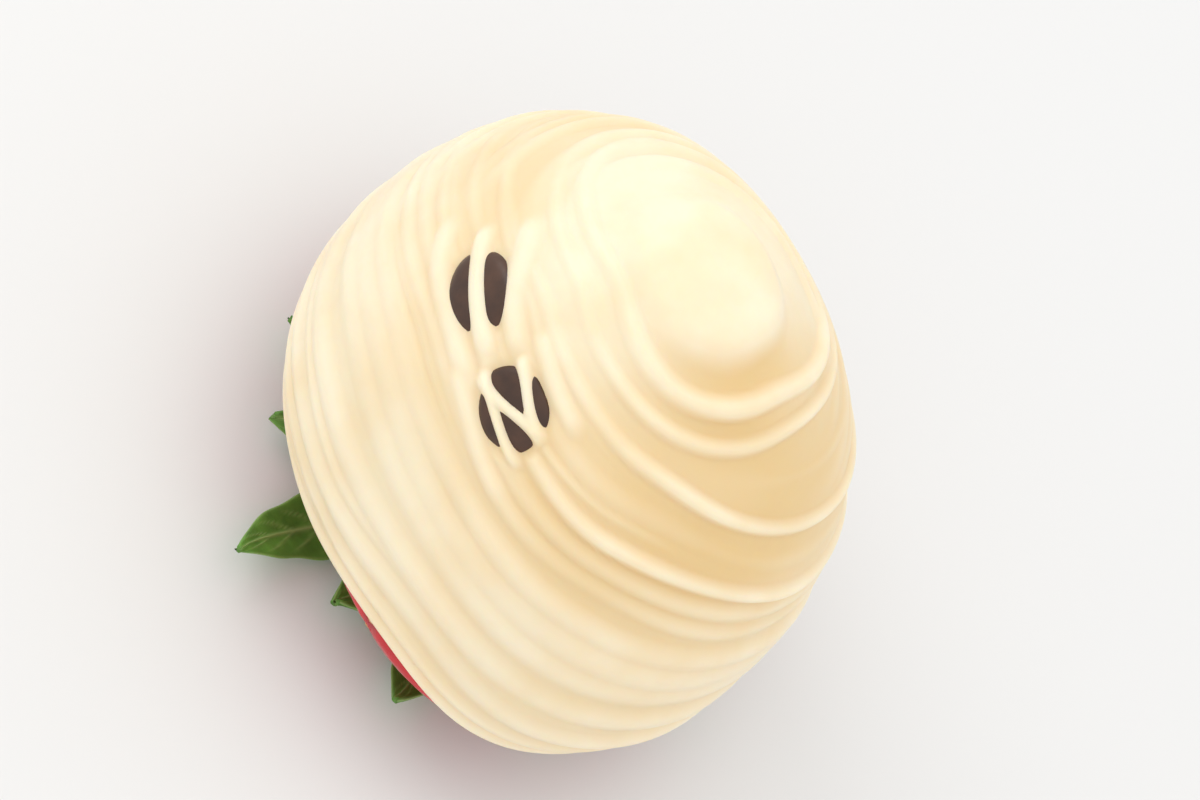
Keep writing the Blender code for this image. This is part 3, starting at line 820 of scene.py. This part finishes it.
class BERRY_OT_white_chocolate(Operator):
    """Adds the drizzled white chocolate coating"""

    bl_idname = "berry.white_chocolate"
    bl_label = "White Chocolate Coating"

    def execute(self, context):
        look = context.scene.berry_coating
        turn = np.linspace(0, math.tau, look.columns, endpoint=False)[None, :]
        edge = coating_edge(turn)
        share = np.linspace(0, 1, look.rows)[:, None]
        travel = (edge - LIP) * share
        depth = drizzle_depth(travel, turn, look)
        lip_bend = np.linspace(0, math.pi / 2, 9)[1:, None]
        rim = depth[-1:]
        lip_travel = edge - LIP + LIP * np.sin(lip_bend)
        lip_depth = rim + (SKIN_INSIDE - rim) * (1 - np.cos(lip_bend))
        inner_share = np.linspace(1, 0, 14)[1:, None]
        inner_travel = (edge - LIP_INSET * LIP) * inner_share
        inner_depth = np.full_like(inner_travel, SKIN_INSIDE)
        travels = np.concatenate([travel, lip_travel, inner_travel])
        depths = np.concatenate([depth, lip_depth, inner_depth])
        rows = OUTLINE.points(travels, turn, depths)
        mesh = mesh_from_rows("white_chocolate", rows)
        # Painted shade: the colour share runs from 0 in the valleys, which take the darker valley colour
        # as shade, to 1 on the crests; the lift takes part of that shade away in places
        relief = 1 - np.clip(depths / look.valley_depth, 0, 1)
        unshaded = relief + valley_shade_lift(travels, turn) * (1 - relief)
        add_attribute(mesh, "unshaded", np.concatenate([[unshaded[0, 0]], unshaded[1:-1].ravel(), [0.0]]))
        mesh.materials.append(white_chocolate(look))
        new_piece("white_chocolate", mesh, "white_chocolate", "coating")
        return {"FINISHED"}


class BERRY_OT_dark_dots(Operator):
    """Adds the dark chocolate dots that show between the threads"""

    bl_idname = "berry.dark_dots"
    bl_label = "Dark Chocolate Dots"

    def execute(self, context):
        look = context.scene.berry_dots
        material = dark_chocolate(look)
        turn = np.linspace(0, math.tau, 72, endpoint=False)[None, :]
        out = np.linspace(0, 1, 22)[:, None]
        for number, (dot_travel, dot_turn) in enumerate(DOTS):
            uneven = 1 + DOT_UNEVEN[0] * np.sin(3 * turn + number)
            uneven = uneven + DOT_UNEVEN[1] * np.sin(5 * turn + 2 * number)
            shares = np.concatenate([out, out[::-1]])
            top = look.depth + (DOT_RIM_DEPTH - look.depth) * out ** DOT_SQUARENESS
            depth = np.concatenate([top, np.full_like(out, DOT_RIM_DEPTH + DOT_FOOT)])
            down = DOT_DOWN * uneven * shares * np.cos(turn)
            across = DOT_ACROSS * uneven * shares * np.sin(turn)
            round_turn = dot_turn + across / OUTLINE.at(dot_travel)[0]
            rows = OUTLINE.points(dot_travel + down, round_turn, depth)
            mesh = mesh_from_rows(f"dark_dot_{number + 1}", rows)
            mesh.materials.append(material)
            new_piece(f"dark_dot_{number + 1}", mesh, "dark_chocolate")
        return {"FINISHED"}


def seed_places(look):
    """Travel and turn of every seed on the bare shoulder."""
    for line, travel in enumerate(SEED_TRAVELS):
        radius = float(OUTLINE.at(travel)[0]) - FRUIT_INSIDE
        count = round(math.tau * radius / look.seed_spacing)
        for number in range(count):
            turn = math.tau * (number + 0.5 * (line % 2)) / count
            if travel - coating_edge(turn) > SEED_CLEARANCE:
                yield travel, turn


class BERRY_OT_fruit(Operator):
    """Adds the red fruit with its dimples"""

    bl_idname = "berry.fruit"
    bl_label = "Red Fruit"

    def execute(self, context):
        look = context.scene.berry_fruit
        columns = 420
        turn = np.linspace(0, math.tau, columns, endpoint=False)[None, :]
        covered = np.linspace(0, SHOWN_TRAVEL, 16)[:-1, None]
        shown = np.linspace(SHOWN_TRAVEL, OUTLINE.end_travel, 120)[:, None]
        end = np.linspace(OUTLINE.end_travel, OUTLINE.end_travel + STEM_END_RADIUS, 8)[1:, None]
        travel = np.concatenate([covered, shown, end])
        dimple = np.zeros((len(travel), columns))
        for seed_travel, seed_turn in seed_places(look):
            radius = float(OUTLINE.at(seed_travel)[0])
            down = (travel - seed_travel) / DIMPLE_HALF_LENGTH
            across = turn_apart(turn, seed_turn) * radius / DIMPLE_HALF_WIDTH
            dimple = np.maximum(dimple, np.clip(1 - down ** 2 - across ** 2, 0, None) ** 1.5)
        ribs = RIB * np.sin(RIB_COUNT * turn + 1.3) * smooth((travel - RIB_TRAVEL) / RIB_FADE)
        rows = OUTLINE.points(travel, turn, fruit_depth(travel, turn) + look.dimple_depth * dimple + ribs)
        mesh = mesh_from_rows("strawberry_fruit", rows)
        flat = np.concatenate([[0.0], dimple[1:-1].ravel(), [0.0]])
        # Painted shade mask: how far the skin in each dimple is darkened as shade
        add_attribute(mesh, "dimple", 0.8 * smooth(1.4 * flat))
        paleness = MOST_PALENESS * smooth((travel - PALE_TRAVEL) / PALE_FADE)
        paleness = np.broadcast_to(paleness, dimple.shape)
        add_attribute(mesh, "paleness", np.concatenate([[0.0], paleness[1:-1].ravel(), [MOST_PALENESS]]))
        mesh.materials.append(fruit_skin(look))
        new_piece("strawberry_fruit", mesh, "fruit", "strawberry")
        return {"FINISHED"}


class BERRY_OT_seeds(Operator):
    """Adds the seeds of the bare shoulder as one mesh"""

    bl_idname = "berry.seeds"
    bl_label = "Seeds"

    def execute(self, context):
        look = context.scene.berry_fruit
        draw = random.Random(SEED_DRAW)
        seeds = bmesh.new()
        blush = seeds.verts.layers.float.new("blush")
        for travel, turn in seed_places(look):
            size = Vector(SEED_SIZE) * draw.uniform(*SEED_GROWTH)
            place = OUTLINE.frame(travel, turn, fruit_depth(travel, turn) + SEED_SINK * look.dimple_depth)
            lean = Matrix.Rotation(draw.uniform(-SEED_LEAN, SEED_LEAN), 4, "Z")
            made = bmesh.ops.create_uvsphere(seeds, u_segments=14, v_segments=9, radius=0.5)["verts"]
            for vert in made:
                narrow = 1 - SEED_NARROWING * (vert.co.z + 0.5) ** 2
                vert[blush] = float(smooth(vert.co.z + 0.6)) * 0.8
                along = Vector((vert.co.x * narrow, vert.co.z, vert.co.y * narrow))
                vert.co = place @ lean @ Vector(a * b for a, b in zip(along, size))
        mesh = bpy.data.meshes.new("strawberry_seeds")
        bmesh.ops.recalc_face_normals(seeds, faces=seeds.faces)
        seeds.to_mesh(mesh)
        seeds.free()
        mesh.shade_smooth()
        mesh.materials.append(seed_skin(look))
        new_piece("strawberry_seeds", mesh, "fruit")
        return {"FINISHED"}


def leaf_swell(part):
    """Share of a leaf's half width, from its root to its pointed tip."""
    blade = LEAF_ROOT_SHARE + LEAF_WIDENING * part - LEAF_NARROWING * part ** 2
    point = 1 - LEAF_CLOSING * smooth((part - LEAF_POINT) / (1 - LEAF_POINT))
    return np.maximum(blade, LEAF_TIP_SHARE * point)


def bract_surface(turn, draw):
    """Middle surface of a narrow leaf that lies on the ground and curls up at its tip."""
    reach = draw.uniform(*BRACT_REACH)
    curl = draw.uniform(*BRACT_CURL)
    bend = draw.uniform(-BRACT_BEND, BRACT_BEND)
    phase = draw.uniform(0, math.tau)

    def surface(side, part):
        curled = np.maximum(part - BRACT_CURL_START, 0.0) / (1 - BRACT_CURL_START)
        lift = curl * curled ** BRACT_CURL_POWER
        cup = BRACT_CUP * side ** 2 * np.sin(math.pi * part)
        ripple = RIPPLE * (1 + np.sin(BRACT_RIPPLES * part + phase + side)) * part
        height = BRACT_LIFT * SOLID_LEAF + lift + cup + ripple
        radius = LEAF_START + (reach - LEAF_START) * part
        swing = turn + bend * part ** 2
        across = side * BRACT_HALF_WIDTH * leaf_swell(part)
        x = np.cos(swing) * radius - np.sin(swing) * across
        y = np.sin(swing) * radius + np.cos(swing) * across
        return np.stack([x, y, height], axis=-1)

    return surface


def sepal_surface(turn, draw):
    """Middle surface of a broad leaf that follows the fruit's shoulder and flares at its tip."""
    length = draw.uniform(*SEPAL_LENGTH)
    flare = draw.uniform(*SEPAL_FLARE)
    bend = draw.uniform(-SEPAL_BEND, SEPAL_BEND)
    phase = draw.uniform(0, math.tau)
    root = OUTLINE.end_travel + STEM_END_RADIUS - LEAF_START

    def surface(side, part):
        travel = root - length * part
        radius = OUTLINE.at(travel)[0]
        swing = turn + bend * part ** 2 + side * SEPAL_HALF_WIDTH * leaf_swell(part) / radius
        rippled = smooth(2 * (part - SEPAL_FLAT_SHARE))
        ripple = RIPPLE * rippled * np.sin(SEPAL_RIPPLES * part + phase + 2 * side)
        gap = SEPAL_ROOT_GAP + SEPAL_GAP * smooth(2 * part) + ripple + 0.5 * SOLID_LEAF
        gap = gap + flare * (np.maximum(part - SEPAL_FLARE_START, 0.0) / (1 - SEPAL_FLARE_START)) ** 2
        return OUTLINE.points(travel, swing, FRUIT_INSIDE - gap)

    return surface


def vein_pattern(side, part):
    """1 on a leaf's midrib, its slanting side veins and its rim."""
    midrib = np.exp(-(side / MIDRIB_WIDTH) ** 2)
    slant = (part * VEIN_COUNT - np.abs(side) * VEIN_SLANT) % 1.0
    veins = np.exp(-((slant - 0.5) / VEIN_WIDTH) ** 2) * (1 - smooth((np.abs(side) - 0.5) / 0.5))
    rim = smooth((np.abs(side) - 0.9) / 0.1)
    return np.maximum(np.maximum(midrib, 0.55 * veins), 0.6 * rim)


def leaf_mesh(name, surface, thickness):
    """Closed leaf: a wavy sheet with teeth along its rim, both faces raised at the veins."""
    across, along = 24, 44
    side = np.linspace(-1, 1, across + 1)[:, None]
    part = np.linspace(0, 1, along + 1)[None, :]
    teeth = 1 + TOOTH_DEPTH * np.sin(TOOTH_RATE * part) * np.abs(side) ** 3 * smooth(4 * part)
    middle = surface(side * teeth, part + 0 * side)
    down = np.gradient(middle, axis=1)
    wide = np.gradient(middle, axis=0)
    normal = np.cross(wide, down)
    normal /= np.linalg.norm(normal, axis=-1, keepdims=True)
    vein = vein_pattern(side, part)
    rounded = np.sqrt(np.clip(1 - (np.abs(side) * np.ones_like(part)) ** 6, 0.02, 1))
    half = 0.5 * thickness * rounded + VEIN_RISE * vein * rounded
    points = np.concatenate([middle + normal * half[..., None], middle - normal * half[..., None]])
    count = (across + 1) * (along + 1)
    faces = []
    for row in range(across):
        for column in range(along):
            a = row * (along + 1) + column
            b, c, d = a + 1, a + along + 2, a + along + 1
            faces.append((a, b, c, d))
            faces.append((a + count, d + count, c + count, b + count))
    outer = [row * (along + 1) for row in range(across + 1)]
    outer += [across * (along + 1) + column for column in range(1, along + 1)]
    outer += [row * (along + 1) + along for row in range(across - 1, -1, -1)]
    outer += list(range(along - 1, 0, -1))
    for first, second in zip(outer, outer[1:] + outer[:1]):
        faces.append((first, second, second + count, first + count))
    mesh = bpy.data.meshes.new(name)
    mesh.from_pydata(points.reshape(-1, 3).tolist(), [], faces)
    add_attribute(mesh, "vein", np.concatenate([vein.ravel(), vein.ravel()]))
    return mesh


def hub_mesh():
    """Round green hub with a soft rim and shallow ribs."""
    turn = np.linspace(0, math.tau, 96, endpoint=False)[None, :]
    out = np.linspace(0, 1, 12)[:, None]
    corner = np.linspace(0, math.pi, 15)[1:-1, None]
    round_off = 0.5 * HUB_HEIGHT
    rib = 1 + HUB_RIB * np.cos(2 * LEAF_PAIRS * turn)
    top_radius = (HUB_RADIUS - round_off) * out
    side_radius = HUB_RADIUS - round_off + round_off * np.sin(corner)
    radius = np.concatenate([top_radius, side_radius, top_radius[::-1]]) * rib
    height = np.concatenate([
        np.full_like(out, HUB_HEIGHT), round_off + round_off * np.cos(corner), np.zeros_like(out)])
    height = np.broadcast_to(height, radius.shape)
    rows = np.stack([radius * np.cos(turn), radius * np.sin(turn), height], axis=-1)
    mesh = mesh_from_rows("hub", rows)
    add_attribute(mesh, "vein", np.zeros(len(mesh.vertices)))
    return mesh


class BERRY_OT_leafy_cap(Operator):
    """Adds the leafy cap: hub, bracts and sepals in one mesh"""

    bl_idname = "berry.leafy_cap"
    bl_label = "Leafy Cap"

    def execute(self, context):
        look = context.scene.berry_leaves
        draw = random.Random(LEAF_SEED)
        parts = [hub_mesh()]
        for number in range(LEAF_PAIRS):
            turn = math.tau * (number + draw.uniform(-LEAF_STRAY, LEAF_STRAY)) / LEAF_PAIRS
            parts.append(leaf_mesh(f"bract_{number}", bract_surface(turn, draw), look.thickness))
            sepal = sepal_surface(turn + math.pi / LEAF_PAIRS, draw)
            parts.append(leaf_mesh(f"sepal_{number}", sepal, look.thickness))
        joined = bmesh.new()
        for part in parts:
            joined.from_mesh(part)
            bpy.data.meshes.remove(part)
        bmesh.ops.recalc_face_normals(joined, faces=joined.faces)
        mesh = bpy.data.meshes.new("leafy_cap")
        joined.to_mesh(mesh)
        joined.free()
        mesh.shade_smooth()
        mesh.materials.append(leaf_skin(look))
        new_piece("leafy_cap", mesh, "leaf", "calyx")
        return {"FINISHED"}


def area_light(name, direction, distance, size, power, target, color=(1.0, 1.0, 1.0)):
    """Round soft light in a direction from the berry, aimed back at it."""
    data = bpy.data.lights.new(name, "AREA")
    data.shape = "DISK"
    data.size = size
    data.energy = power
    data.color = color
    light = bpy.data.objects.new(name, data)
    toward = Vector(direction).normalized()
    light.location = target + toward * distance
    light.rotation_mode = "QUATERNION"
    light.rotation_quaternion = toward.to_track_quat("Z", "Y")
    bpy.context.scene.collection.objects.link(light)


class BERRY_OT_studio(Operator):
    """Adds the pale floor, the soft lights and the camera"""

    bl_idname = "berry.studio"
    bl_label = "Studio"

    def execute(self, context):
        look = context.scene.berry_studio
        middle = Vector((0.0, 0.0, 0.5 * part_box("coating")[1].z))
        self.add_floor(look)
        self.add_camera(look, middle)
        area_light("key light", *KEY_LIGHT, look.key_power, middle, KEY_COLOR)
        area_light("top light", *TOP_LIGHT, look.fill_power, middle)
        world = bpy.data.worlds.new("pale studio")
        world.use_nodes = True
        background = world.node_tree.nodes["Background"]
        background.inputs["Color"].default_value = (1.0, 1.0, 1.0, 1.0)
        background.inputs["Strength"].default_value = look.sky
        context.scene.world = world
        context.scene.view_settings.view_transform = "Standard"
        return {"FINISHED"}

    def add_floor(self, look):
        """Plain pale floor at the height that the berry stands on."""
        bm = bmesh.new()
        bmesh.ops.create_grid(bm, x_segments=8, y_segments=8, size=1.5)
        mesh = bpy.data.meshes.new("floor")
        bm.to_mesh(mesh)
        bm.free()
        finish = Finish("pale floor", 0.6, specular=0.3)
        pale = tuple(look.floor_color)
        base = finish.ramp(finish.noise(6.0), (0.3, shade(pale, 0.985)), (0.7, pale))
        finish.link(base, finish.shader.inputs["Base Color"])
        mesh.materials.append(finish.material)
        floor = bpy.data.objects.new("floor", mesh)
        bpy.context.scene.collection.objects.link(floor)

    def add_camera(self, look, middle):
        """Camera that looks down on the berry, rolled as the photographed one lay."""
        back = Vector((0.0, -math.cos(look.elevation), math.sin(look.elevation)))
        data = bpy.data.cameras.new("camera")
        data.lens = look.lens
        data.sensor_width = 36.0
        data.clip_start = 0.01
        data.clip_end = 10.0
        camera = bpy.data.objects.new("camera", data)
        camera.location = middle + back * look.distance
        aim = back.to_track_quat("Z", "Y")
        roll = Matrix.Rotation(look.roll, 4, back)
        camera.matrix_world = Matrix.Translation(camera.location) @ roll @ aim.to_matrix().to_4x4()
        bpy.context.scene.collection.objects.link(camera)
        bpy.context.scene.camera = camera


class BERRY_PT_sidebar(Panel):
    """Buttons and sizes for the berry"""

    bl_idname = "BERRY_PT_sidebar"
    bl_label = "Chocolate Coated Strawberry"
    bl_space_type = "VIEW_3D"
    bl_region_type = "UI"
    bl_category = "Berry"

    def draw(self, context):
        groups = (
            ("berry_coating", (BERRY_OT_white_chocolate,)),
            ("berry_dots", (BERRY_OT_dark_dots,)),
            ("berry_fruit", (BERRY_OT_fruit, BERRY_OT_seeds)),
            ("berry_leaves", (BERRY_OT_leafy_cap,)),
            ("berry_studio", (BERRY_OT_studio,)),
        )
        for pointer, operators in groups:
            box = self.layout.box()
            look = getattr(context.scene, pointer)
            for key in look.__annotations__:
                box.prop(look, key)
            for operator in operators:
                box.operator(operator.bl_idname)


LOOKS = {
    "berry_coating": CoatingLook,
    "berry_dots": DotLook,
    "berry_fruit": FruitLook,
    "berry_leaves": LeafLook,
    "berry_studio": StudioLook,
}
OPERATORS = (
    BERRY_OT_white_chocolate,
    BERRY_OT_dark_dots,
    BERRY_OT_fruit,
    BERRY_OT_seeds,
    BERRY_OT_leafy_cap,
    BERRY_OT_studio,
)


def register():
    """Register the classes and give the scene its settings."""
    for look in LOOKS.values():
        bpy.utils.register_class(look)
    for operator in OPERATORS:
        bpy.utils.register_class(operator)
    bpy.utils.register_class(BERRY_PT_sidebar)
    for pointer, look in LOOKS.items():
        setattr(bpy.types.Scene, pointer, PointerProperty(type=look))


def unregister():
    """Take the settings and the classes away again."""
    for pointer in LOOKS:
        delattr(bpy.types.Scene, pointer)
    bpy.utils.unregister_class(BERRY_PT_sidebar)
    for kind in (*reversed(OPERATORS), *reversed(list(LOOKS.values()))):
        bpy.utils.unregister_class(kind)


def main():
    """Build every piece."""
    register()
    bpy.ops.berry.white_chocolate()
    bpy.ops.berry.dark_dots()
    bpy.ops.berry.fruit()
    bpy.ops.berry.seeds()
    bpy.ops.berry.leafy_cap()
    bpy.ops.berry.studio()


if __name__ == "__main__":
    main()
